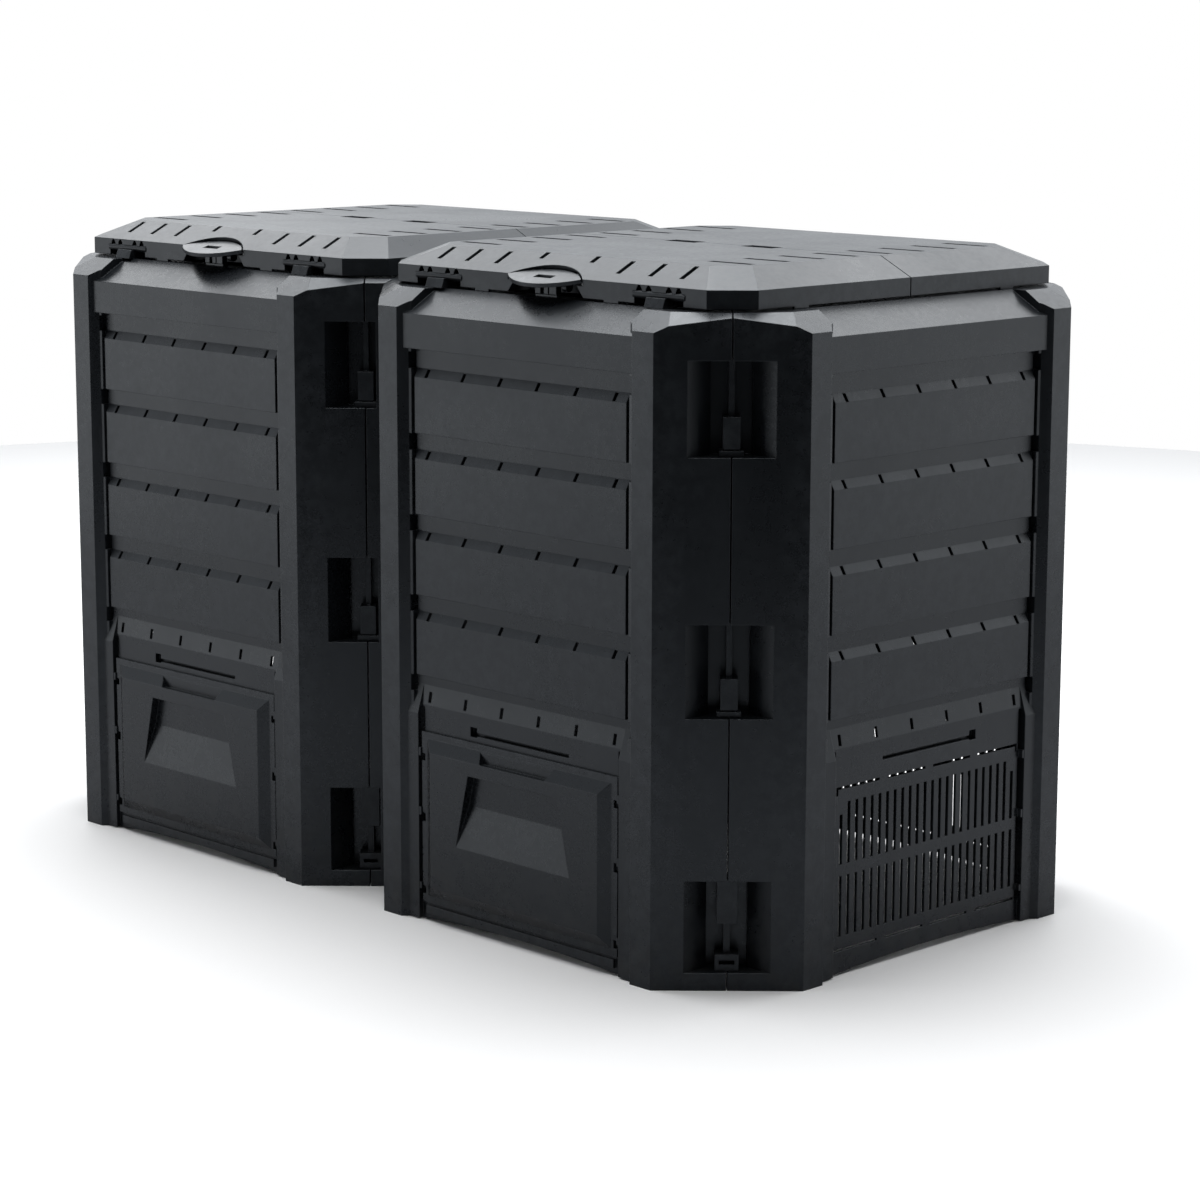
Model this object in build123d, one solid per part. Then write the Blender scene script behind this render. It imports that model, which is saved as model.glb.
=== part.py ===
from build123d import *
from math import sqrt
import os

# Two-chamber modular compost bin: two eight-sided modules side by side, with a shared divider.
# X runs along the front from left to right, Y towards the back and Z up, all in millimetres.
# The origin is on the ground under the middle of the pair.
#
# A wall is modelled as the front wall of a module centred on the origin. In it, u is the distance
# along the wall from its middle and d is the depth inwards from the face of its pillars.

# ---------------------------------------------------------------- module
MODULE = 719.0              # across opposite walls
HALF = MODULE / 2
PITCH = 631.0               # between the two module centres
CENTRES = {"left": -PITCH / 2, "right": PITCH / 2}
CORNER_LEG = 125.0          # each leg of the corner chamfer
FACE_HALF = HALF - CORNER_LEG
FACET = CORNER_LEG / sqrt(2)  # from a wall's outer corner to the seam in mid-chamfer
SKIN = 3.5                  # moulded wall thickness
SEAM_GAP = 0.8              # each wall stops this short of the seam
R45 = sqrt(0.5)
THROUGH = (-HALF, 30.0 - HALF)  # y span of the tools that cut through a wall's skin

# ---------------------------------------------------------------- wall, upper part
LEDGE_Z = 781.5             # top of the ledge that the lid sits on
LEDGE_FRONT = 54.0
LEDGE_BACK = 80.0
BAND_D = 5.5
BAND_TOP = 753.0
BAND_BOTTOM = 711.0
BAND_HALF = 196.0

# ---------------------------------------------------------------- wall, slats and strips
SLATS = 4
SLAT_PITCH = 99.5
SLAT_TOP = 676.5
SLAT_HEIGHT = 68.5
SLAT_D = 11.0
STRIP_D = 17.5
STRIP_RISE = 10.5           # height of the sloping band that carries the slits
SLAT_HALF = 181.5
CAP = 3.5                   # closed ends of the slats
SLIT_SPACING = 64.4
SLIT_WIDTH = 5.0
SLIT_COUNT = 6
LOW_SLITS = (276.0, 289.0)  # height span of the slits in the shelf

# ---------------------------------------------------------------- wall, lower part
SHELF_TOP = 297.0
SHELF_FOOT = 273.0
PANEL_D = 13.0
SIDE_D = 7.0
RECESS_HALF = 175.0         # half width of the recess between the side strips
SIDE_OUTER = 195.0
SIDE_TOP = 262.0
ARCH_RISE = 8.0
ARCH_HALF = 201.0
GUIDE_WIDTH = 6.0           # slots that run up both edges of the recess
GUIDES = ((30.0, 40.0), (48.0, 134.0), (144.0, 209.0), (219.0, 270.0))
LUGS = ((40.0, 48.0), (134.0, 144.0), (209.0, 219.0))
LUG_WIDTH = 3.5
KEYWAY_Z = 250.0
KEYWAY_HALF = 86.0
KEYWAY_HEIGHT = 4.5
KEYHOLE = 12.0
CHANNEL_BACK = 23.0         # of the channel behind the keyway, open at its foot
CHANNEL_Z = (240.0, 260.0)

# ---------------------------------------------------------------- pillar
PILLAR_INNER = 201.0
BEVEL_FOOT = (191.0, 10.0)
RIB_INNER = 186.5
JAMB_BACK = 22.0
PILLAR_TOP = 760.0
PILLAR_SLOPE = 0.65         # rise per depth of the pillar's top
CORNER_LIFT = 5.6           # the facet's top starts this much over the pillar's
SEAM_TOP = 777.0
CORNER_SLOPE = 0.49
CAP_BASE = 748.0
CAP_REACH = 252.5           # how far the hipped block runs along the wall behind it
POCKET_FLOOR = 587.0        # first of the dark pockets at the ends of the strips
POCKET_HEIGHT = 20.0

# ---------------------------------------------------------------- corner windows and clips
WINDOW_FOOT = 21.0
WINDOW_PITCH = 299.5
WINDOW_HEIGHT = 109.0
WINDOW_HALF = 50.0
WINDOWS = 3
THROAT_HALF = 24.0
THROAT_DEPTH = 26.0
POCKET_DEPTH = 42.0
POCKET_SKIN = 3.0
SEAM_WEB = 30.0
CLIP_STEPS = (              # half width, depths and heights over the window's foot, from foot to stem
    (14.0, (8.0, 34.0), (0.3, 7.0)), (8.0, (12.0, 30.0), (6.0, 10.0)),
    (10.0, (8.0, 32.0), (9.0, 45.0)), (3.5, (18.0, 30.0), (44.0, 108.7)))
FOOT_CLIP_STEPS = (         # the same for the lowest clip of a corner
    (14.0, (8.0, 32.0), (0.3, 20.0)), (4.0, (18.0, 32.0), (8.0, 60.0)),
    (12.0, (10.0, 32.0), (56.0, 108.7)))
FOOT_CLIP_SLOT = (9.0, (0.0, 20.0), (8.0, 13.0))

# ---------------------------------------------------------------- grille of the closed walls
BAR_SLOTS = 24
BAR_PITCH = 13.75
BAR_SLOT = 5.2
BAR_ROWS = ((47.0, 120.0), (134.0, 208.0))
SHORT_ROW = (134.0, 194.0)
CUT_LINE = 3.2
CUT_TOP = 224.0
CUT_FOOT = 29.0
CUT_SIDE = 167.0
CUT_BRIDGE = 7.0            # left standing on each side of a gap in the cut line

# ---------------------------------------------------------------- door and its opening
OPENING_HALF = 155.0
OPENING_Z = (40.0, 235.0)
DOOR_HALF = 171.0
DOOR_Z = (24.0, 240.0)
RIM_D = 9.3
RIM_BACK = 12.7
BOSS_HALF = (161.0, 146.5)  # raised middle, at its foot and at its face
BOSS_Z = ((33.0, 232.0), (47.0, 217.0))
BOSS_D = 0.3
SCOOP_TOP_HALF = 77.5
SCOOP_FOOT_HALF = 99.5
SCOOP_Z = (107.0, 160.5, 200.0)
SCOOP_DEPTH = 11.2
SCOOP_SKIN = 2.0
TAB_HALF = (57.0, 64.0)
TAB_Z = (217.0, 231.0)
TAB_D = 8.5
TONGUE_OUT = 163.0
TONGUE_IN = 144.0
TONGUE_NECK = OPENING_HALF - 1
TONGUE_D = (17.4, 20.4)
TONGUE_Z = ((56.0, 86.0), (150.0, 180.0))
DOOR_NOTCHES = ((34.0, 44.0), (126.0, 137.0), (203.0, 212.0))
NOTCH = 6.0
SILL = (165.0, (9.5, 20.0))  # half width and height span of the raised sill under a door

# ---------------------------------------------------------------- lid
LID_HALF = 303.0
LID_LEG = 41.0
LID_Z = (784.5, 806.0, 829.0)
TOP_HALF = 256.0
TOP_LEG = 34.0
LID_SKIN = 3.5
LINING = 3.0                # of the notches, recesses and pockets of the lid
LINING_TOP = 815.0
LID_GAP = 1.6               # between the two halves
TOP_SLITS = (43.0, 104.0, 156.0, 206.0)
LONG_SLIT = (-286.0, -260.0)
SHORT_SLIT = (-269.0, -254.0)
LID_SLIT_WIDTH = 7.5
DASH = (178.0, 246.0)
DASH_PITCH = 60.0
DASH_ROWS = 8
DASH_WIDTH = 11.0
SEAM_CLIP_U = 65.0
SEAM_CLIP = (52.0, 22.0, 9.0)
FOOT_SIZE = (24.0, 3.0, 2.9)  # of the feet that keep the rim just clear of the ledge
FRONT_FOOT = 110.0
SIDE_FEET = (-190.0, 180.0)
SEAM_BAR = (6.0, 4.0)       # width and height of the bars of a seam clip

# ---------------------------------------------------------------- lid hinges
HINGE_U = 187.0
AXIS_Y = 299.0
AXIS_Z = 795.0
PIN_R = 5.0
PIN_CLEARANCE = 0.1
NOTCH_HALF = 39.0
NOTCH_BACK = 287.0
NOTCH_TOP = 797.5
CRADLE_HALF = 15.0
CRADLE_DEPTH = 9.0
CRADLE_TOP = AXIS_Z - 2.0
KNUCKLE_SLOTS = (-31.5, -16.0, 16.0, 31.5)
KNUCKLE_SLOT = 9.0
KNUCKLE_Z = (790.0, 801.0, 805.5)  # foot, shoulder and peak of the slots over a hinge

# ---------------------------------------------------------------- divider
DIVIDER_HALF = 3.0
DIVIDER_WINDOW = 14.0       # how far a corner window reaches past the seam into the fork
DIVIDER_VENTS = 6
DIVIDER_VENT = 8.0
DIVIDER_VENT_FOOT = 130.0
DIVIDER_VENT_PITCH = 100.0
DIVIDER_VENT_GAP = 62.0
DIVIDER_VENT_HALF = 22.0
DIVIDER_VENT_COLUMNS = 4    # on each side of the middle

# ---------------------------------------------------------------- latch
LATCH_BACK = 268.0          # rear wall of the lid's latch recess
LATCH_TOP_HALF = 47.0
LATCH_FOOT_HALF = 65.0
LATCH_AXIS = (-283.0, 806.0)
LATCH_PIN_R = 3.0
LATCH_PIN_CLEARANCE = 0.06
CHEEK = 5.0
GRIP = (62.0, 25.0)         # half length and half depth of the grip plate
GRIP_CENTRE = (-304.0, 803.5)
GRIP_TILT = 15.0
GRIP_THICK = 5.0
GRIP_GAP = 2.5              # between the plate and the lid around it
GRIP_SLOT = (15.0, 4.5, 2.5)  # half length, half width and depth of the slot in its top
STEM_HALF = 18.0
STEM_Y = (-302.0, -294.0)
STEM_FOOT = 785.0
STEM_GROOVES = ((-9.0, -3.0), (4.0, 6.0))
EAR = (23.0, 31.0)          # span of the round ears beside the stem
EAR_CENTRE = (-293.0, 794.0)
EAR_R = 5.5
LUG_R = 4.8
LUG_SWEEP_R = 6.2           # room that the latch needs to turn under the lid's slope
LUG = (36.0, 44.0)          # span of the lugs that hold the pin


# ================================================================ helpers
def block(x, y, z):
    """A box from three (low, high) pairs."""
    size = [high - low for low, high in (x, y, z)]
    middle = [(high + low) / 2 for low, high in (x, y, z)]
    return Pos(*middle) * Box(*size)


def upright(points, low, high):
    """A prism with a plan outline, between two heights."""
    return Pos(0, 0, low) * extrude(Polygon(*points, align=None), high - low, dir=(0, 0, 1))


def along_x(points, low, high):
    """A prism with an outline in (y, z), between two x positions."""
    return extrude(Plane.YZ.offset(low) * Polygon(*points, align=None), high - low, dir=(1, 0, 0))


def along_y(points, low, high):
    """A prism with an outline in (x, z), between two y positions."""
    face = Plane(origin=(0, low, 0), x_dir=(1, 0, 0), z_dir=(0, -1, 0)) * Polygon(*points, align=None)
    return extrude(face, high - low, dir=(0, 1, 0))


def rod_x(radius, x, y, z):
    """A round bar along X, from the first to the second of two x positions."""
    return Pos((x[0] + x[1]) / 2, y, z) * Rot(0, 90, 0) * Cylinder(radius, x[1] - x[0])


def both_ends(part):
    """A feature of a wall's right end together with its mirror image at the left end."""
    return [part, mirror(part, Plane.YZ)]


def inward(points):
    """Turn (depth, z) points of a wall into (y, z) points."""
    return [(depth - HALF, z) for depth, z in points]


def facet(m, s):
    """The plan point at m along the right-hand corner facet and s inwards from it."""
    return (FACE_HALF + (m - s) * R45, (m + s) * R45 - HALF)


def window_spans():
    """The height spans of the windows in a corner."""
    return [(WINDOW_FOOT + i * WINDOW_PITCH, WINDOW_FOOT + i * WINDOW_PITCH + WINDOW_HEIGHT)
            for i in range(WINDOWS)]


def slat_tops():
    """The heights of the upper edges of the slats, from the top row down."""
    return [SLAT_TOP - row * SLAT_PITCH for row in range(SLATS)]


# ================================================================ wall
def slat_outlines():
    """The outer and the inner outline of the skin as (depth, z) points, from the ledge to the ground."""
    outer = [(LEDGE_BACK, LEDGE_Z), (LEDGE_FRONT, LEDGE_Z), (BAND_D, BAND_TOP), (BAND_D, BAND_BOTTOM)]
    inner = [(LEDGE_BACK, LEDGE_Z - SKIN), (LEDGE_FRONT + SKIN / 4, LEDGE_Z - SKIN),
             (BAND_D + SKIN, BAND_TOP - SKIN / 2), (BAND_D + SKIN, BAND_BOTTOM + SKIN)]
    foot = BAND_BOTTOM
    for top in slat_tops():
        outer += [(STRIP_D, foot), (STRIP_D, top + STRIP_RISE), (SLAT_D, top), (SLAT_D, top - SLAT_HEIGHT)]
        inner += [(STRIP_D + SKIN, foot + SKIN), (STRIP_D + SKIN, top + STRIP_RISE - SKIN / 2),
                  (SLAT_D + SKIN, top - SKIN / 2), (SLAT_D + SKIN, top - SLAT_HEIGHT + SKIN)]
        foot = top - SLAT_HEIGHT
    outer += [(STRIP_D, foot), (STRIP_D, SHELF_TOP), (PANEL_D, SHELF_FOOT), (PANEL_D, 0)]
    inner += [(STRIP_D + SKIN, foot + SKIN), (STRIP_D + SKIN, SHELF_TOP - SKIN / 2),
              (PANEL_D + SKIN, SHELF_FOOT - SKIN / 2), (PANEL_D + SKIN, 0)]
    return outer, inner


def wall_skin():
    """The stepped skin between the pillars, with the closed ends of its slats."""
    outer, inner = slat_outlines()
    skin = along_x(inward(outer + inner[::-1]), -SLAT_HALF, SLAT_HALF)
    band = along_x(inward(outer[:4] + [(STRIP_D + SKIN, BAND_BOTTOM), inner[4]] + inner[:4][::-1]),
                   -BAND_HALF, BAND_HALF)
    end = outer[4:] + [(JAMB_BACK, 0), (JAMB_BACK, BAND_BOTTOM)]
    caps = both_ends(along_x(inward(end), SLAT_HALF - CAP, SLAT_HALF))
    return [skin, band] + caps


def wall_post():
    """The right-hand pillar with its corner facet, one folded skin from the ground to the cap."""
    end = FACET - SEAM_GAP
    plan = [facet(end, 0), facet(0, 0)]
    plan += [(u, d - HALF) for u, d in (
        (PILLAR_INNER, 0), BEVEL_FOOT, (RIB_INNER, BEVEL_FOOT[1] + 0.5), (RIB_INNER, STRIP_D),
        (SLAT_HALF - CAP, STRIP_D), (SLAT_HALF - CAP, JAMB_BACK), (BEVEL_FOOT[0] + 4.5, JAMB_BACK),
        (BEVEL_FOOT[0] + 4.5, BEVEL_FOOT[1] + 2), (PILLAR_INNER + 2, SKIN), (FACE_HALF - 2, SKIN))]
    plan.append(facet(end, SKIN))
    web = [facet(end - SKIN, 0), facet(end, 0), facet(end, SEAM_WEB), facet(end - SKIN, SEAM_WEB)]
    return [upright(plan, 0, CAP_BASE + SKIN), upright(web, 0, CAP_BASE + SKIN)]


def corner_cap(inset, drop):
    """The hipped block on top of a post. A second, smaller one hollows it from below."""
    end = FACET - SEAM_GAP
    plan = [(RIB_INNER, 12 - HALF), (BEVEL_FOOT[0], BEVEL_FOOT[1] - HALF), (PILLAR_INNER, -HALF),
            facet(0, 0), facet(end, 0), facet(end, POCKET_DEPTH + 2), (CAP_REACH, LEDGE_BACK - HALF),
            (RIB_INNER, LEDGE_BACK - HALF)]
    outline = Polygon(*plan, align=None)
    if inset:
        outline = offset(outline, -inset)
    cap = Pos(0, 0, CAP_BASE - drop) * extrude(outline, LEDGE_Z - CAP_BASE, dir=(0, 0, 1))
    front = Plane(origin=(FACE_HALF, -HALF, PILLAR_TOP - drop), x_dir=(1, 0, 0),
                  z_dir=(0, -PILLAR_SLOPE, 1))
    corner = facet(0, 0)
    rise = (SEAM_TOP - PILLAR_TOP - CORNER_LIFT) / FACET
    tilt_x = -(rise - CORNER_SLOPE) * R45
    tilt_y = -(rise + CORNER_SLOPE) * R45
    side = Plane(origin=(corner[0], corner[1], PILLAR_TOP + CORNER_LIFT - drop),
                 z_dir=(tilt_x, tilt_y, 1))
    cap = split(cap, bisect_by=front, keep=Keep.BOTTOM)
    return split(cap, bisect_by=side, keep=Keep.BOTTOM)


def window_pocket(low, high):
    """The lining of one half of a corner window: a slanted cheek, a floor, a ceiling and a back."""
    end = FACET - SEAM_GAP
    lip = FACET - WINDOW_HALF
    throat = FACET - THROAT_HALF
    rear = [facet(throat, POCKET_DEPTH), facet(throat - SKIN, POCKET_DEPTH),
            facet(throat - SKIN, THROAT_DEPTH + 1.5), facet(lip - 2.5, POCKET_SKIN)]
    cheek = upright([facet(lip, 0.5), facet(throat, THROAT_DEPTH)] + rear, low - POCKET_SKIN,
                    high + POCKET_SKIN)
    plate = [facet(lip, 0.5), facet(end, 0.5), facet(end, POCKET_DEPTH)] + rear
    floor = upright(plate, low - POCKET_SKIN, low)
    ceiling = upright(plate, high, high + POCKET_SKIN)
    back = upright([facet(throat - SKIN, POCKET_DEPTH - POCKET_SKIN), facet(end, POCKET_DEPTH - POCKET_SKIN),
                    facet(end, POCKET_DEPTH), facet(throat - SKIN, POCKET_DEPTH)],
                   low - POCKET_SKIN, high + POCKET_SKIN)
    return [cheek, floor, ceiling, back]


def window_cut(low, high):
    """The hole through one half of a corner window."""
    lip = FACET - WINDOW_HALF
    throat = FACET - THROAT_HALF
    plan = [facet(lip, -5), facet(lip, 0.5), facet(throat, THROAT_DEPTH), facet(throat, POCKET_DEPTH + 5),
            facet(FACET + 5, POCKET_DEPTH + 5), facet(FACET + 5, -5)]
    return upright(plan, low, high)


def side_strip():
    """The raised strip beside the recess, from the ground up to the shelf."""
    outline = [(SIDE_D, 0), (SIDE_D, SIDE_TOP), (STRIP_D, SHELF_TOP), (STRIP_D + SKIN, SHELF_TOP),
               (STRIP_D + SKIN, SHELF_TOP - 6), (PANEL_D + SKIN, SHELF_FOOT - 2), (PANEL_D + SKIN, 0)]
    strip = along_x(inward(outline), RECESS_HALF, SIDE_OUTER)
    hollow = block((RECESS_HALF + SKIN, SIDE_OUTER - SKIN), (SIDE_D + SKIN - HALF, PANEL_D + 9 - HALF),
                   (0, SIDE_TOP - SKIN))
    return strip - hollow


def slits():
    """The ventilation slits of all rows, as one tool."""
    rows = [(top, top + STRIP_RISE - 1) for top in slat_tops()] + [LOW_SLITS]
    first = -SLIT_SPACING * (SLIT_COUNT - 1) / 2
    tools = []
    for low, high in rows:
        for i in range(SLIT_COUNT):
            u = first + i * SLIT_SPACING
            tools.append(block((u - SLIT_WIDTH / 2, u + SLIT_WIDTH / 2), THROUGH, (low, high)))
    return tools


def lower_cuts():
    """The guide slots, the keyway above the door and the arch under the wall, as tools."""
    guides = [block((RECESS_HALF - GUIDE_WIDTH, RECESS_HALF), THROUGH, span) for span in GUIDES]
    tools = [tool for guide in guides for tool in both_ends(guide)]
    keyway = block((-KEYWAY_HALF, KEYWAY_HALF), THROUGH,
                   (KEYWAY_Z - KEYWAY_HEIGHT / 2, KEYWAY_Z + KEYWAY_HEIGHT / 2))
    keyhole = block((-KEYWAY_HALF, -KEYWAY_HALF + KEYHOLE), THROUGH,
                    (KEYWAY_Z - KEYHOLE / 3, KEYWAY_Z + 2 * KEYHOLE / 3))
    radius = (ARCH_HALF ** 2 + ARCH_RISE ** 2) / (2 * ARCH_RISE)
    arch = Pos(0, 15 - HALF, ARCH_RISE - radius) * Rot(90, 0, 0) * Cylinder(radius, 40)
    arch &= block((-ARCH_HALF, ARCH_HALF), THROUGH, (-2, ARCH_RISE + 2))
    return tools + [keyway, keyhole, arch]


def keyway_channel():
    """The channel behind the keyway, which keeps light and rain out of the chamber."""
    plate = 2.5
    back = PANEL_D + SKIN
    outer = block((-KEYWAY_HALF - 4, KEYWAY_HALF + 4), (back - 1 - HALF, CHANNEL_BACK - HALF), CHANNEL_Z)
    inner = block((-KEYWAY_HALF - 4 + plate, KEYWAY_HALF + 4 - plate),
                  (back - 2 - HALF, CHANNEL_BACK - plate - HALF), (CHANNEL_Z[0] - 1, CHANNEL_Z[1] - plate))
    return outer - inner


def pocket_cuts():
    """The dark pockets beside the pillars at both ends of each recessed strip."""
    tools = []
    for row in range(SLATS + 1):
        low = POCKET_FLOOR + SLAT_PITCH - row * SLAT_PITCH
        tools += both_ends(block((RIB_INNER - 1, BEVEL_FOOT[0]), (BEVEL_FOOT[1] - 3 - HALF, THROUGH[1]),
                                 (low, low + POCKET_HEIGHT)))
    return tools


def grille_cuts():
    """The bars of the closed lower panel and the line along which it can be cut out."""
    first = -BAR_PITCH * (BAR_SLOTS - 1) / 2
    tools = []
    for i in range(BAR_SLOTS):
        u = first + i * BAR_PITCH
        for row in BAR_ROWS:
            outer_slot = i in (0, BAR_SLOTS - 1) and row == BAR_ROWS[1]
            tools.append(block((u - BAR_SLOT / 2, u + BAR_SLOT / 2), THROUGH,
                               SHORT_ROW if outer_slot else row))
    quarter = CUT_SIDE / 2
    for i in range(4):
        low = -CUT_SIDE + i * quarter + CUT_BRIDGE * (i > 0)
        high = -CUT_SIDE + (i + 1) * quarter - CUT_BRIDGE * (i < 3)
        tools.append(block((low, high), THROUGH, (CUT_TOP, CUT_TOP + CUT_LINE)))
        tools.append(block((low, high), THROUGH, (CUT_FOOT, CUT_FOOT + CUT_LINE)))
    tools += both_ends(block((CUT_SIDE - CUT_LINE, CUT_SIDE), THROUGH, (CUT_TOP - 7, CUT_TOP + 1)))
    return tools


def wall(door, keyhole_right):
    """One wall in the front position. door says whether the door's opening is cut."""
    solids = wall_skin()
    tools = slits() + lower_cuts() + pocket_cuts()
    solids += both_ends(side_strip())
    for span in LUGS:
        solids += both_ends(block((RECESS_HALF - LUG_WIDTH, RECESS_HALF + 1),
                                  (SIDE_D + 0.5 - HALF, PANEL_D + 1 - HALF), span))
    for piece in wall_post():
        solids += both_ends(piece)
    solids += both_ends(corner_cap(0, 0))
    tools += both_ends(corner_cap(SKIN, SKIN))
    body = Part() + solids
    body -= tools
    for low, high in window_spans():
        body -= both_ends(window_cut(low, high))
        body += [piece for half in window_pocket(low, high) for piece in both_ends(half)]
    if door:
        body -= block((-OPENING_HALF, OPENING_HALF), (-HALF, 40 - HALF), OPENING_Z)
        body += block((-SILL[0], SILL[0]), (RIM_D - HALF, PANEL_D + 1 - HALF), SILL[1])
    else:
        body -= grille_cuts()
    body += keyway_channel()
    if keyhole_right:
        body = mirror(body, Plane.YZ)
    return body


# ================================================================ divider
def junction(m, s):
    """The plan point at m along the facet that meets the divider, s inwards, in the right module."""
    return (PITCH / 2 - FACE_HALF - (m - s) * R45, (m + s) * R45 - HALF)


def divider_pocket(low, high, start, reach, throat):
    """The lining of the divider's half of a corner window."""
    skin = POCKET_SKIN
    inner = POCKET_DEPTH - skin
    cheek = [junction(reach, 2), junction(reach + skin, 2), junction(throat + skin, POCKET_DEPTH),
             junction(throat, POCKET_DEPTH)]
    rear = [junction(start, inner), junction(throat + 1, inner), junction(throat + 1, POCKET_DEPTH),
            junction(start, POCKET_DEPTH)]
    plate = [junction(start, 2), junction(reach + skin, 2), junction(throat + skin, POCKET_DEPTH),
             junction(start, POCKET_DEPTH)]
    return [upright(cheek, low - skin, high + skin), upright(rear, low - skin, high + skin),
            upright(plate, low - skin, low), upright(plate, high, high + skin)]


def divider_wall():
    """The shared wall between the modules, forked at both ends to meet four corner facets."""
    start = FACET + SEAM_GAP
    apex = (PITCH / 2 - FACE_HALF) / R45
    tip = junction(start, 0)
    inside = junction(start, SKIN)
    plan = [junction(apex, 0), tip, inside, (DIVIDER_HALF, inside[1] + inside[0] - DIVIDER_HALF),
            (DIVIDER_HALF, 0), (0, 0)]
    web = [junction(start, 0), junction(start, SEAM_WEB), junction(start + SKIN, SEAM_WEB),
           junction(start + SKIN, 0)]
    ledge = PITCH / 2 - HALF + LEDGE_BACK
    deck = [junction(apex, 0), tip, junction(start, POCKET_DEPTH + 2), (ledge, -CAP_REACH),
            (ledge, 0), (0, 0)]
    quarter = upright(plan, 0, LEDGE_Z) + upright(web, 0, LEDGE_Z)
    quarter += upright(deck, LEDGE_Z - 2 * SKIN, LEDGE_Z)
    slope = Plane(origin=(tip[0], tip[1], SEAM_TOP),
                  z_dir=(-CORNER_SLOPE * R45, -CORNER_SLOPE * R45, 1))
    quarter = split(quarter, bisect_by=slope, keep=Keep.BOTTOM)
    reach = FACET + DIVIDER_WINDOW
    for low, high in window_spans():
        throat = FACET + THROAT_HALF
        hole = [junction(FACET - 2, -5), junction(reach, -5), junction(reach, 3),
                junction(throat, POCKET_DEPTH - POCKET_SKIN), junction(FACET - 2, POCKET_DEPTH - POCKET_SKIN)]
        quarter -= upright(hole, low, high)
        quarter += divider_pocket(low, high, start, reach, throat)
    for row in range(DIVIDER_VENTS):
        low = DIVIDER_VENT_FOOT + row * DIVIDER_VENT_PITCH
        for column in range(DIVIDER_VENT_COLUMNS):
            y = -DIVIDER_VENT_GAP / 2 - column * DIVIDER_VENT_GAP
            quarter -= block((-1, 20), (y - DIVIDER_VENT_HALF, y + DIVIDER_VENT_HALF),
                             (low, low + DIVIDER_VENT))
    half = Part() + [quarter, mirror(quarter, Plane.XZ)]
    return Part() + both_ends(half)


# ================================================================ corner clips
def seam_point(m, s):
    """A plan point near the right-hand front seam, m across it and s inwards."""
    return facet(FACET + m, s)


def seam_block(half, depths, heights):
    """A block centred on a seam."""
    plan = [seam_point(-half, depths[0]), seam_point(half, depths[0]),
            seam_point(half, depths[1]), seam_point(-half, depths[1])]
    return upright(plan, *heights)


def clip_steps(steps, low):
    """A clip inside the corner window that starts at low, stacked up from its steps."""
    clip = Part()
    for half, depths, heights in steps:
        clip += seam_block(half, depths, [low + height for height in heights])
    return clip


def corner_clips():
    """The clips of one seam, in the right-hand front corner of a centred module."""
    feet = [low for low, _ in window_spans()]
    half, depths, heights = FOOT_CLIP_SLOT
    slot = seam_block(half, depths, [feet[0] + height for height in heights])
    return [clip_steps(FOOT_CLIP_STEPS, feet[0]) - slot] + [clip_steps(CLIP_STEPS, low) for low in feet[1:]]


# ================================================================ door
def frustum(bottom, top):
    """A solid between two (half width, (low z, high z), depth) rectangles of a wall."""
    faces = []
    for half, span, depth in (bottom, top):
        plane = Plane(origin=(0, depth - HALF, (span[0] + span[1]) / 2), x_dir=(1, 0, 0), z_dir=(0, -1, 0))
        faces.append(plane * Rectangle(2 * half, span[1] - span[0]))
    return loft(faces, ruled=True)


def scoop(skin):
    """The finger scoop of the door, grown by skin on every side."""
    low, fold, high = SCOOP_Z
    depth = SCOOP_DEPTH + skin
    side = along_x(inward([(-1, low - skin), (-1, high + skin), (depth, high + skin),
                           (depth, fold - skin / 2), (BOSS_D + skin, low - skin)]), -120, 120)
    front = along_y([(-SCOOP_FOOT_HALF - skin, low - skin), (SCOOP_FOOT_HALF + skin, low - skin),
                     (SCOOP_TOP_HALF + skin, high + skin), (-SCOOP_TOP_HALF - skin, high + skin)],
                    -2 - HALF, 30 - HALF)
    return side & front


def door():
    """The door of a front wall: a flat rim around a raised middle with a scoop."""
    rim = block((-DOOR_HALF, DOOR_HALF), (RIM_D - HALF, RIM_BACK - HALF), DOOR_Z)
    outer = frustum((BOSS_HALF[0], BOSS_Z[0], RIM_D), (BOSS_HALF[1], BOSS_Z[1], BOSS_D))
    tab = along_y([(-TAB_HALF[0], TAB_Z[0]), (TAB_HALF[0], TAB_Z[0]), (TAB_HALF[1], TAB_Z[1]),
                   (-TAB_HALF[1], TAB_Z[1])], -HALF - 2, TAB_D - HALF)
    core = block((-BOSS_HALF[1], BOSS_HALF[1]), (RIM_D - 2 - HALF, RIM_BACK - HALF), BOSS_Z[1])
    shell = rim + outer + core
    shell += scoop(SCOOP_SKIN) & block((-120, 120), (BOSS_D + 1 - HALF, 20 - HALF), (80, 220))
    shell -= [tab, scoop(0)]
    for span in DOOR_NOTCHES:
        shell -= both_ends(block((DOOR_HALF - NOTCH, DOOR_HALF + 1), (RIM_D - 1 - HALF, 20 - HALF), span))
    return shell


def door_hooks():
    """The hooks on the back of a door that grip behind the wall, each a neck and a tongue."""
    hooks = []
    for span in TONGUE_Z:
        neck = block((TONGUE_IN, TONGUE_NECK), (RIM_BACK - HALF, TONGUE_D[1] - HALF), span)
        tongue = block((TONGUE_NECK, TONGUE_OUT), (TONGUE_D[0] - HALF, TONGUE_D[1] - HALF), span)
        hooks += both_ends(neck) + both_ends(tongue)
    return hooks


# ================================================================ lid
def octagon(half, leg):
    """An eight-sided outline with its corners cut back by leg."""
    inner = half - leg
    return Polygon((half, -inner), (half, inner), (inner, half), (-inner, half), (-half, inner),
                   (-half, -inner), (-inner, -half), (inner, -half), align=None)


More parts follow.
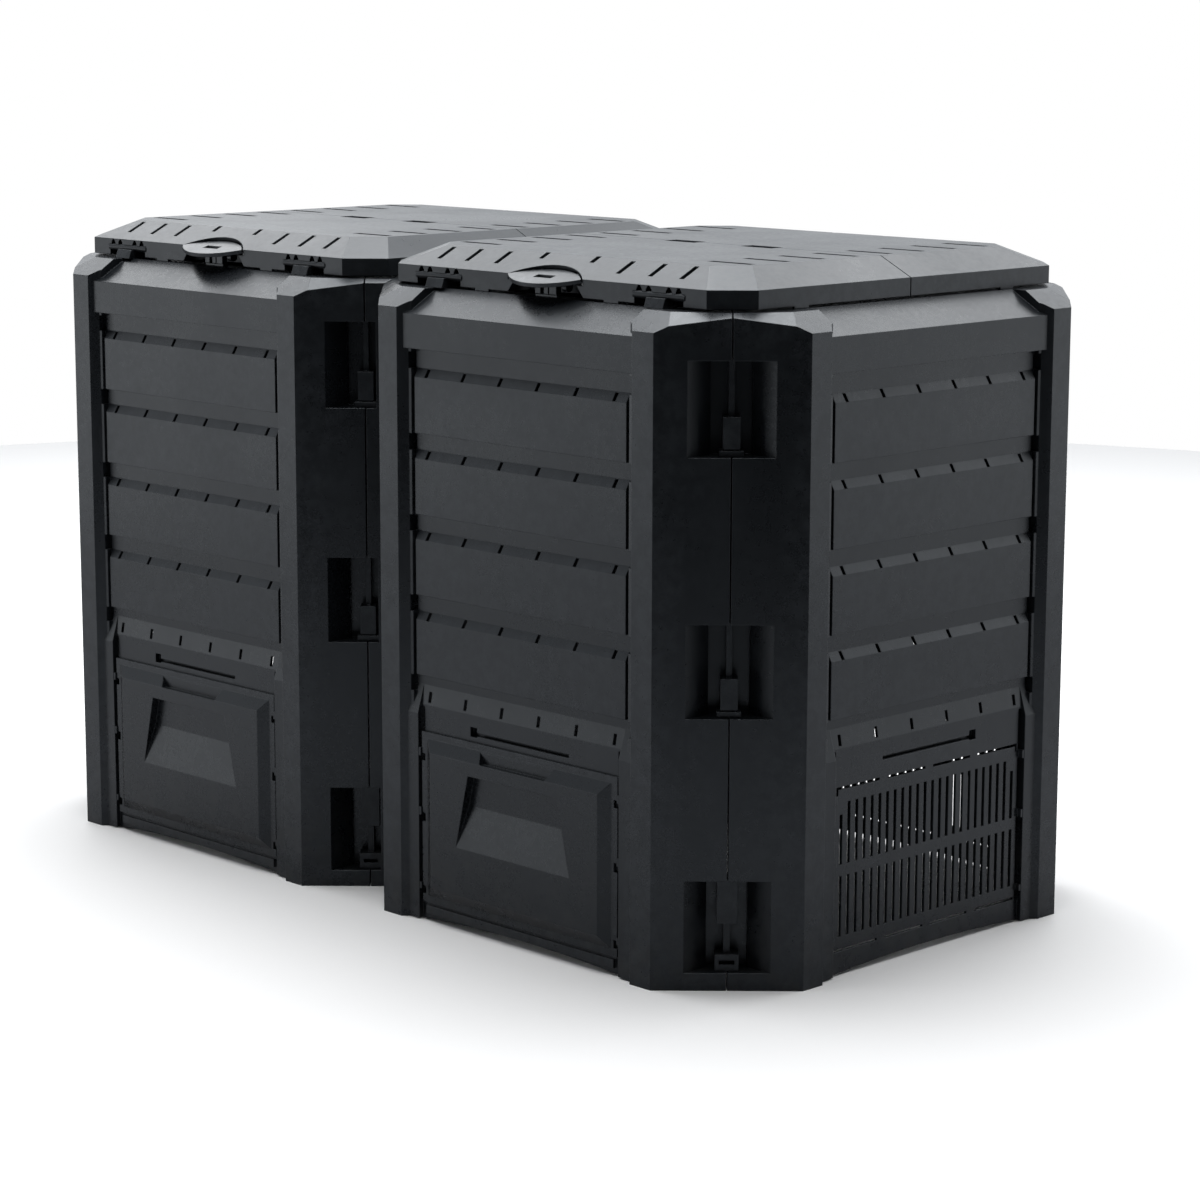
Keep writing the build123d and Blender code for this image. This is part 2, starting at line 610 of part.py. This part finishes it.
def lid_solid(inset, drop):
    """The outer form of a lid, or its hollow when inset and dropped."""
    rim = Pos(0, 0, LID_Z[0] - drop) * extrude(octagon(LID_HALF - inset, LID_LEG - inset / 2),
                                               LID_Z[1] - LID_Z[0], dir=(0, 0, 1))
    top = loft([Pos(0, 0, LID_Z[1] - drop) * octagon(LID_HALF - inset, LID_LEG - inset / 2),
                Pos(0, 0, LID_Z[2] - drop) * octagon(TOP_HALF - inset, TOP_LEG - inset / 2)], ruled=True)
    return rim + top


def front_and_back(parts):
    """Features of the front edge together with their mirror images at the back."""
    return parts + [mirror(part, Plane.XZ) for part in parts]


def latch_recess(grow, back):
    """The trapezoid recess in the front rim that the latch sits in."""
    foot = LATCH_FOOT_HALF + grow
    top = LATCH_TOP_HALF + grow
    return along_y([(-foot, LID_Z[0] - 1), (foot, LID_Z[0] - 1), (top, LID_Z[1]), (top, LID_Z[2]),
                    (-top, LID_Z[2]), (-top, LID_Z[1])], -LID_HALF - 3, back)


def hinge_notch(u):
    """One hinge notch in the front rim: its lining, the tools of its notch and slots, and its hole."""
    added = [block((u - NOTCH_HALF - LINING, u + NOTCH_HALF + LINING), (-LID_HALF, LINING - NOTCH_BACK),
                   (LID_Z[0], LINING_TOP))]
    removed = [block((u - NOTCH_HALF, u + NOTCH_HALF), (-LID_HALF - 1, -NOTCH_BACK),
                     (LID_Z[0] - 1, NOTCH_TOP))]
    for offset in KNUCKLE_SLOTS:
        low, shoulder, peak = KNUCKLE_Z
        half = KNUCKLE_SLOT / 2
        arch = [(u + offset - half, low), (u + offset + half, low), (u + offset + half, shoulder),
                (u + offset + half / 3, peak), (u + offset - half / 3, peak), (u + offset - half, shoulder)]
        removed.append(along_y(arch, -LID_HALF - 1, -NOTCH_BACK))
    hole = rod_x(PIN_R + 0.02, (u - NOTCH_HALF - 2.7, u + NOTCH_HALF + 2.7), -AXIS_Y, AXIS_Z)
    return added, removed, hole


def lid():
    """A whole lid, with its slits, hinge notches and latch recess, before it is cut in two."""
    outer = lid_solid(0, 0)
    hollow = lid_solid(LID_SKIN, LID_SKIN)
    shell = outer - hollow
    added, removed, holes = [], [], []
    for u in (-HINGE_U, HINGE_U):
        parts = hinge_notch(u)
        added += front_and_back(parts[0])
        removed += front_and_back(parts[1])
        holes += front_and_back([parts[2]])
        removed.append(block((u - CRADLE_HALF - 2, u + CRADLE_HALF + 2), (NOTCH_BACK, LID_HALF + 1),
                             (LID_Z[0] - 1, LINING_TOP)))
    added.append(latch_recess(LINING, LINING - LATCH_BACK))
    added.append(grip_plate(GRIP_GAP + LINING, -GRIP_THICK - LINING, 2 * GRIP_THICK))
    cheek = block((LATCH_TOP_HALF, LATCH_TOP_HALF + CHEEK), (LATCH_AXIS[0] - 8, -LATCH_BACK + 1),
                  (LATCH_AXIS[1] - 9, LINING_TOP))
    added += both_ends(cheek)
    tubs, pockets = [], []
    for u in (-SEAM_CLIP_U, SEAM_CLIP_U):
        length, width, depth = SEAM_CLIP
        tubs.append(block((u - length / 2 - LINING, u + length / 2 + LINING),
                          (-width / 2 - LINING, width / 2 + LINING),
                          (LID_Z[2] - depth - LINING, LID_Z[2] - 1)))
        pockets.append(block((u - length / 2, u + length / 2), (-width / 2, width / 2),
                             (LID_Z[2] - depth, LID_Z[2] + 1)))
    shell += [part & outer for part in added] + tubs
    recess = latch_recess(0, -LATCH_BACK)
    mouth = recess & block((-LID_HALF, LID_HALF), (-LID_HALF - 3, 0), (LID_Z[0] - 2, LID_Z[1] - LID_SKIN))
    shell -= removed + pockets + [recess & hollow, mouth]
    shell -= grip_plate(GRIP_GAP, -GRIP_THICK, 4 * GRIP_THICK)
    shell -= rod_x(LUG_SWEEP_R, (-LATCH_TOP_HALF, LATCH_TOP_HALF), *LATCH_AXIS)
    shell -= holes
    shell -= rod_x(LATCH_PIN_R + LATCH_PIN_CLEARANCE, (-LATCH_TOP_HALF - 3.5, LATCH_TOP_HALF + 3.5),
                   *LATCH_AXIS)
    shell -= lid_slits()
    shell += lid_feet()
    return shell


def lid_slits():
    """The slits across the front and back slopes and the dashes beside the edges of the top."""
    tools = []
    for i, u in enumerate(TOP_SLITS):
        span = LONG_SLIT if i else SHORT_SLIT
        for side in (-1, 1):
            tools += front_and_back([block((side * u - LID_SLIT_WIDTH / 2, side * u + LID_SLIT_WIDTH / 2),
                                           span, (LID_Z[1] - 4, LID_Z[2] + 1))])
    for row in range(DASH_ROWS):
        y = (row - (DASH_ROWS - 1) / 2) * DASH_PITCH
        tools += both_ends(block(DASH, (y - DASH_WIDTH / 2, y + DASH_WIDTH / 2),
                                 (LID_Z[2] - 8, LID_Z[2] + 1)))
    return tools


def lid_feet():
    """Small feet under the front and side rims that keep the lid just clear of the ledge."""
    length, width, height = FOOT_SIZE
    span = (LID_Z[0] - height, LID_Z[0] + 1)
    feet = both_ends(block((FRONT_FOOT - length / 2, FRONT_FOOT + length / 2),
                           (-LID_HALF, width - LID_HALF), span))
    for y in SIDE_FEET:
        feet += both_ends(block((LID_HALF - width, LID_HALF), (y - length / 2, y + length / 2), span))
    return feet


def lid_half(whole, back):
    """The front or the back half of a lid."""
    reach = LID_HALF + 10
    span = (LID_GAP / 2, reach) if back else (-reach, -LID_GAP / 2)
    return whole & block((-reach, reach), span, (700, 900))


def seam_clips():
    """The two clips that join the halves of a lid, one in each pocket of its top."""
    length, width, depth = SEAM_CLIP
    clips = []
    for u in (-SEAM_CLIP_U, SEAM_CLIP_U):
        wide, high = SEAM_BAR
        heights = (LID_Z[2] - depth, LID_Z[2] - depth + high)
        bar = block((u - length / 2 + wide, u + length / 2 - wide), (-wide / 2, wide / 2), heights)
        ends = [block((u + e - wide / 2, u + e + wide / 2), (-width / 2 + 2, width / 2 - 2), heights)
                for e in (1.5 * wide - length / 2, length / 2 - 1.5 * wide)]
        clips.append(bar + ends)
    return clips


def hinge_pins():
    """The four bars that the cradles of the walls hold."""
    pins = []
    for y in (-AXIS_Y, AXIS_Y):
        for u in (-HINGE_U, HINGE_U):
            pins.append(rod_x(PIN_R, (u - NOTCH_HALF - 2.5, u + NOTCH_HALF + 2.5), y, AXIS_Z))
    return pins


def cradles():
    """The two cradles on the front ledge of a module that hold the pins of the lid."""
    outline = [(-AXIS_Y + CRADLE_DEPTH + 1, LEDGE_Z + 0.1), (-AXIS_Y + CRADLE_DEPTH + 1, CRADLE_TOP),
               (-AXIS_Y - CRADLE_DEPTH, CRADLE_TOP), (-AXIS_Y - CRADLE_DEPTH - 4, LEDGE_Z + 0.1)]
    pieces = []
    for u in (-HINGE_U, HINGE_U):
        piece = along_x(outline, u - CRADLE_HALF, u + CRADLE_HALF)
        pieces.append(piece - rod_x(PIN_R + PIN_CLEARANCE, (u - 20, u + 20), -AXIS_Y, AXIS_Z))
    return pieces


# ================================================================ latch
def grip_plate(grow, low, high):
    """The pointed oval of the grip, grown all round, between two heights over its middle."""
    length, depth = GRIP[0] + grow, GRIP[1] + grow
    radius = (length ** 2 + depth ** 2) / (2 * depth)
    lens = (Pos(0, radius - depth) * Circle(radius)) & (Pos(0, depth - radius) * Circle(radius))
    spot = Pos(0, *GRIP_CENTRE) * Rot(GRIP_TILT, 0, 0)
    return spot * Pos(0, 0, low) * extrude(lens, high - low, dir=(0, 0, 1))


def latch():
    """The latch of a lid: a tilted grip plate over a ribbed stem, turning on a pin at its back."""
    middle_y, middle_z = GRIP_CENTRE
    plate = grip_plate(0, -GRIP_THICK / 2, GRIP_THICK / 2)
    stem = block((-STEM_HALF, STEM_HALF), STEM_Y, (STEM_FOOT, middle_z + 1))
    grooves = [block(span, (STEM_Y[0] - 1, STEM_Y[0] + 4), (STEM_FOOT - 1, middle_z - GRIP_THICK))
               for span in STEM_GROOVES]
    ear = rod_x(EAR_R, EAR, *EAR_CENTRE)
    neck = block(EAR, (EAR_CENTRE[0] - 3, EAR_CENTRE[0] + 3), (EAR_CENTRE[1], middle_z + 1.5))
    lug = rod_x(LUG_R, LUG, *LATCH_AXIS)
    arm = block(LUG, (middle_y + 4, LATCH_AXIS[0]), (middle_z - GRIP_THICK / 2, middle_z + 2))
    half, width, deep = GRIP_SLOT
    slot = block((-half, half), (middle_y - width, middle_y + width), (middle_z + GRIP_THICK / 2 - deep, 830))
    body = plate + (stem - grooves) + both_ends(ear) + both_ends(neck) + both_ends(lug) + both_ends(arm)
    return body - slot - rod_x(LATCH_PIN_R + 0.02, (-50, 50), *LATCH_AXIS)


def latch_pin():
    """The bar that the latch turns on."""
    return rod_x(LATCH_PIN_R, (-LATCH_TOP_HALF - 3, LATCH_TOP_HALF + 3), *LATCH_AXIS)


def latch_catch():
    """The low block on the ledge that the foot of the stem stands over."""
    return block((-STEM_HALF, STEM_HALF), (STEM_Y[0] + 1, STEM_Y[1] + 1), (LEDGE_Z, STEM_FOOT - 0.5))


# ================================================================ assembly
def export(name, solids):
    """Write one node, from a solid or from a list of identical solids."""
    shape = Compound(children=solids) if isinstance(solids, list) else solids
    export_step(shape, f"parts/{name}.step")


def main():
    os.makedirs("parts", exist_ok=True)
    place = {side: Pos(x, 0, 0) for side, x in CENTRES.items()}
    half_turn = Rot(0, 0, 180)
    door_wall = wall(True, False)
    closed_wall = wall(False, False)
    end_wall = wall(False, True)
    whole_lid = lid()
    clips = corner_clips()
    export("divider_wall", divider_wall())
    turns = {"front_right": 0, "rear_right": 90, "rear_left": 180, "front_left": 270}
    joints = {"front_middle": (("right", 270), ("left", 0)), "rear_middle": (("right", 180), ("left", 90))}
    for side, spot in place.items():
        export(f"front_wall_{side}", spot * door_wall)
        export(f"rear_wall_{side}", spot * half_turn * closed_wall)
        export(f"end_wall_{side}", spot * Rot(0, 0, 90 if side == "right" else -90) * end_wall)
        export(f"door_{side}", spot * door())
        export(f"door_{side}_hooks", [spot * hook for hook in door_hooks()])
        export(f"lid_{side}_front", spot * lid_half(whole_lid, False))
        export(f"lid_{side}_rear", spot * lid_half(whole_lid, True))
        export(f"lid_{side}_clips", [spot * clip for clip in seam_clips()])
        export(f"lid_{side}_pins", [spot * pin for pin in hinge_pins()])
        export(f"cradles_front_{side}", [spot * piece for piece in cradles()])
        export(f"cradles_rear_{side}", [spot * half_turn * piece for piece in cradles()])
        export(f"latch_{side}", spot * latch())
        export(f"latch_pin_{side}", spot * latch_pin())
        export(f"latch_catch_{side}", spot * latch_catch())
    for corner, turn in turns.items():
        side = corner.split("_")[1]
        export(f"clips_{corner}", [place[side] * Rot(0, 0, turn) * clip for clip in clips])
    for name, seams in joints.items():
        export(f"clips_{name}", [place[side] * Rot(0, 0, turn) * clip for side, turn in seams
                                 for clip in clips])


main()
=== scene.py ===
import bpy
from math import cos, pi, radians, sin
from mathutils import Matrix, Vector

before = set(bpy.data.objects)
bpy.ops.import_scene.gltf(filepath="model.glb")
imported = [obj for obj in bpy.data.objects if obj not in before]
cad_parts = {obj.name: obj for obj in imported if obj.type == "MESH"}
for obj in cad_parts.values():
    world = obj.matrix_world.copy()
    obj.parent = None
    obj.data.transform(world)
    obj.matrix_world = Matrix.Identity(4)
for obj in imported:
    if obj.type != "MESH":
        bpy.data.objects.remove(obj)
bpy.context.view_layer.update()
scene = bpy.context.scene


# ---------------------------------------------------------------- camera
CAMERA_PLACE = (3.085, -2.932, 1.119)
YAW = radians(45.51)        # to the left of the +Y axis
PITCH = radians(10.37)      # below the horizon
ROLL = radians(0.14)
LENS = 97.56                # mm, with a sensor 36 mm wide
FAR_CLIP = 100.0


def add_camera():
    """A long lens at chest height, aimed at the bin from its front right."""
    forward = Vector((-sin(YAW) * cos(PITCH), cos(YAW) * cos(PITCH), -sin(PITCH)))
    turn = Matrix.Rotation(-ROLL, 4, forward) @ forward.to_track_quat("-Z", "Y").to_matrix().to_4x4()
    data = bpy.data.cameras.new("camera")
    data.sensor_width = 36.0
    data.lens = LENS
    data.clip_end = FAR_CLIP
    camera = bpy.data.objects.new("camera", data)
    camera.matrix_world = Matrix.Translation(CAMERA_PLACE) @ turn
    scene.collection.objects.link(camera)
    scene.camera = camera


# ---------------------------------------------------------------- node helpers
class Nodes:
    """A material's node tree, with short calls that add and link nodes."""

    def __init__(self, name):
        self.material = bpy.data.materials.new(name)
        self.material.use_nodes = True
        self.tree = self.material.node_tree
        self.shader = self.tree.nodes["Principled BSDF"]
        self.place = self.add("ShaderNodeNewGeometry").outputs["Position"]

    def add(self, kind, **settings):
        node = self.tree.nodes.new(kind)
        for key, value in settings.items():
            setattr(node, key, value)
        return node

    def link(self, source, target):
        self.tree.links.new(source, target)

    def stretched(self, scale):
        """The place on the object, scaled along each axis."""
        node = self.add("ShaderNodeVectorMath", operation="MULTIPLY")
        self.link(self.place, node.inputs[0])
        node.inputs[1].default_value = scale
        return node.outputs[0]

    def noise(self, scale, detail=3.0, rough=0.5, vector=None):
        node = self.add("ShaderNodeTexNoise")
        node.inputs["Scale"].default_value = scale
        node.inputs["Detail"].default_value = detail
        node.inputs["Roughness"].default_value = rough
        self.link(vector or self.place, node.inputs["Vector"])
        return node.outputs["Fac"]

    def remap(self, value, low, high, to_low=0.0, to_high=1.0):
        node = self.add("ShaderNodeMapRange")
        for name, number in zip(("From Min", "From Max", "To Min", "To Max"), (low, high, to_low, to_high)):
            node.inputs[name].default_value = number
        self.link(value, node.inputs["Value"])
        return node.outputs["Result"]

    def math(self, operation, a, b):
        node = self.add("ShaderNodeMath", operation=operation)
        for socket, value in zip(node.inputs, (a, b)):
            if isinstance(value, (int, float)):
                socket.default_value = value
            else:
                self.link(value, socket)
        return node.outputs[0]

    def mix(self, factor, a, b):
        node = self.add("ShaderNodeMix", data_type="RGBA")
        self.link(factor, node.inputs["Factor"])
        for name, value in (("A", a), ("B", b)):
            socket = [s for s in node.inputs if s.name == name and s.type == "RGBA"][0]
            if isinstance(value, tuple):
                socket.default_value = (*value, 1.0)
            else:
                self.link(value, socket)
        return [s for s in node.outputs if s.type == "RGBA"][0]

    def bump(self, height, strength, distance, below=None):
        node = self.add("ShaderNodeBump")
        node.inputs["Strength"].default_value = strength
        node.inputs["Distance"].default_value = distance
        self.link(height, node.inputs["Height"])
        if below is not None:
            self.link(below, node.inputs["Normal"])
        return node.outputs["Normal"]


# ---------------------------------------------------------------- plastic
COOL_TINT = (0.86, 0.93, 1.0, 1.0)
PLASTIC_IOR = 1.50
EDGE_RADIUS = 0.0014        # of the rounding that the mould leaves on an edge, in metres
DUST = (0.075, 0.068, 0.058)
DUST_TOP = 0.16             # how high splashed dust reaches, in metres


def moulded_plastic(name, dark, light, roughness, grain):
    """Injection-moulded plastic: eroded grain, flow marks, rubbed edges lightened as a painted edge
    highlight, and dust near the ground.
    """
    n = Nodes(name)
    clouds = n.noise(6.0, 4.0, 0.6)
    flow = n.noise(1.0, 5.0, 0.65, n.stretched((14.0, 14.0, 2.2)))
    tone = n.math("ADD", n.math("MULTIPLY", clouds, 0.5), n.math("MULTIPLY", flow, 0.5))
    colour = n.mix(n.remap(tone, 0.34, 0.66), dark, light)
    # painted edge highlight with some rubbing wear: convex edges a little lighter than the faces
    edge = n.add("ShaderNodeNewGeometry").outputs["Pointiness"]
    edge_wear_and_highlight = n.math("MULTIPLY", n.remap(edge, 0.52, 0.60), n.remap(n.noise(60.0, 4.0, 0.7), 0.40, 0.62))
    # the lighter edge colour stands in for the shine of rounded edges as well as rubbing
    worn_and_highlit = tuple(2.4 * channel + 0.012 for channel in light)
    colour = n.mix(n.math("MULTIPLY", edge_wear_and_highlight, 0.55), colour, worn_and_highlit)
    # dust that splashed up from the ground
    split = n.add("ShaderNodeSeparateXYZ")
    n.link(n.place, split.inputs[0])
    height = n.remap(split.outputs["Z"], 0.0, DUST_TOP, 1.0, 0.0)
    dust = n.math("MULTIPLY", height, n.remap(n.noise(35.0, 5.0, 0.7), 0.45, 0.75))
    colour = n.mix(n.math("MULTIPLY", dust, 0.30), colour, DUST)
    n.link(colour, n.shader.inputs["Base Color"])
    # gloss, duller in the dust
    gloss = n.math("ADD", n.remap(clouds, 0.3, 0.7, roughness - 0.04, roughness + 0.05),
                   n.remap(n.noise(140.0, 3.0, 0.6), 0.3, 0.7, -0.03, 0.03))
    gloss = n.math("ADD", gloss, n.math("MULTIPLY", dust, 0.22))
    n.link(gloss, n.shader.inputs["Roughness"])
    n.shader.inputs["IOR"].default_value = PLASTIC_IOR
    n.shader.inputs["Specular Tint"].default_value = COOL_TINT
    # relief: rounded edges, slow waves of shrinkage, eroded grain and specks
    rounded = n.add("ShaderNodeBevel", samples=4)
    rounded.inputs["Radius"].default_value = EDGE_RADIUS
    wave = n.bump(n.noise(9.0, 2.0, 0.5), 0.25, 0.0015, rounded.outputs["Normal"])
    fine = n.bump(n.noise(grain, 2.0, 0.6), 0.16, 0.0002, wave)
    specks = n.bump(n.noise(900.0, 1.0, 0.5), 0.06, 0.0001, fine)
    n.link(specks, n.shader.inputs["Normal"])
    return n.material


SHELL = moulded_plastic("shell_plastic", (0.0058, 0.0070, 0.0086), (0.0098, 0.0115, 0.0136), 0.29, 420.0)
LID = moulded_plastic("lid_plastic", (0.0080, 0.0096, 0.0114), (0.0130, 0.0152, 0.0175), 0.32, 360.0)
DOOR = moulded_plastic("door_plastic", (0.0056, 0.0067, 0.0082), (0.0094, 0.0110, 0.0130), 0.27, 460.0)
CLIP = moulded_plastic("clip_plastic", (0.0050, 0.0060, 0.0072), (0.0084, 0.0098, 0.0115), 0.38, 700.0)


def finish_of(name):
    """The finish of a CAD node, from its name."""
    if name.startswith(("clips", "latch_pin")) or name.endswith(("_clips", "_pins")):
        return CLIP
    if name.startswith(("latch", "lid")):
        return LID
    if name.startswith("door"):
        return DOOR
    return SHELL


def finish_nodes():
    """Give every CAD node the finish of its kind."""
    for name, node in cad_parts.items():
        for slot in node.material_slots:
            slot.material = finish_of(name)


# ---------------------------------------------------------------- studio
FLOOR_MIDDLE = (-0.7, 0.7)
FLOOR_REACH = 3.4
FLOOR_SIDES = 96
AWAY = (-0.70, 0.70, 0.12)  # towards the lighter side of the room, behind the bin
# name: place, target, size and radiance of each soft box
SOFT_BOXES = {
    "top_box": ((-0.4, 0.2, 4.0), (-0.3, 0.2, 0), (3.8, 3.8), 5.0),
    "left_box": ((-3.4, 1.2, 2.9), (0, 0, 0.7), (2.4, 2.0), 1.9),
    "rear_box": ((-0.3, 3.3, 3.4), (0.2, 0, 0.8), (2.6, 1.6), 1.9),
    "right_box": ((2.1, 3.6, 2.3), (0.4, 0, 0.5), (2.4, 2.0), 0.8),
    "front_left_box": ((-3.0, -3.1, 0.3), (-0.3, 0, 0.3), (3.0, 1.8), 0.92),
    "rear_right_box": ((3.5, 3.2, 0.3), (0.4, 0, 0.3), (3.0, 1.8), 0.72),
}


def add_floor():
    """A pale round floor. The camera sees it pale; every other ray finds it darker."""
    mesh = bpy.data.meshes.new("floor")
    angles = [2 * pi * i / FLOOR_SIDES for i in range(FLOOR_SIDES)]
    rim = [(FLOOR_REACH * cos(angle) + FLOOR_MIDDLE[0], FLOOR_REACH * sin(angle) + FLOOR_MIDDLE[1], 0)
           for angle in angles]
    mesh.from_pydata(rim, [], [tuple(range(FLOOR_SIDES))])
    floor = bpy.data.objects.new("floor", mesh)
    n = Nodes("floor")
    pale = n.mix(n.noise(0.8, 2.0), (0.90, 0.90, 0.90), (0.93, 0.93, 0.93))
    seen = n.add("ShaderNodeLightPath").outputs["Is Camera Ray"]
    n.link(n.mix(seen, (0.42, 0.42, 0.43), pale), n.shader.inputs["Base Color"])
    n.shader.inputs["Roughness"].default_value = 0.9
    n.shader.inputs["Specular IOR Level"].default_value = 0.1
    mesh.materials.append(n.material)
    scene.collection.objects.link(floor)


def add_area(name, place, target, size, radiance):
    """A soft box of a given brightness, whatever its size."""
    data = bpy.data.lights.new(name, "AREA")
    data.shape = "RECTANGLE"
    data.size, data.size_y = size
    data.energy = radiance * pi * size[0] * size[1]
    light = bpy.data.objects.new(name, data)
    light.location = place
    light.rotation_mode = "QUATERNION"
    light.rotation_quaternion = (Vector(target) - Vector(place)).to_track_quat("-Z", "Y")
    scene.collection.objects.link(light)


def add_room():
    """A room that the camera sees white, and that gives more light from behind the bin than from in front."""
    world = bpy.data.worlds.new("world")
    scene.world = world
    world.use_nodes = True
    tree = world.node_tree
    tree.nodes.clear()
    place = tree.nodes.new("ShaderNodeTexCoord")
    away = tree.nodes.new("ShaderNodeVectorMath")
    away.operation = "DOT_PRODUCT"
    away.inputs[1].default_value = AWAY
    tree.links.new(place.outputs["Generated"], away.inputs[0])
    ramp = tree.nodes.new("ShaderNodeMapRange")
    ramp.interpolation_type = "SMOOTHSTEP"
    for name, number in (("From Min", -0.35), ("From Max", 0.75), ("To Min", 0.05), ("To Max", 0.95)):
        ramp.inputs[name].default_value = number
    tree.links.new(away.outputs["Value"], ramp.inputs["Value"])
    light = tree.nodes.new("ShaderNodeBackground")
    light.inputs["Color"].default_value = (0.93, 0.96, 1.0, 1.0)
    tree.links.new(ramp.outputs["Result"], light.inputs["Strength"])
    seen = tree.nodes.new("ShaderNodeBackground")
    seen.inputs["Color"].default_value = (1.0, 1.0, 1.0, 1.0)
    path = tree.nodes.new("ShaderNodeLightPath")
    mix = tree.nodes.new("ShaderNodeMixShader")
    out = tree.nodes.new("ShaderNodeOutputWorld")
    tree.links.new(path.outputs["Is Camera Ray"], mix.inputs[0])
    tree.links.new(light.outputs[0], mix.inputs[1])
    tree.links.new(seen.outputs[0], mix.inputs[2])
    tree.links.new(mix.outputs[0], out.inputs["Surface"])


def add_studio():
    """A floor, a room and soft boxes, shown without any tone curve."""
    add_floor()
    add_room()
    for name, (place, target, size, radiance) in SOFT_BOXES.items():
        add_area(name, place, target, size, radiance)
    scene.view_settings.view_transform = "Standard"
    scene.view_settings.look = "None"


add_camera()
finish_nodes()
add_studio()
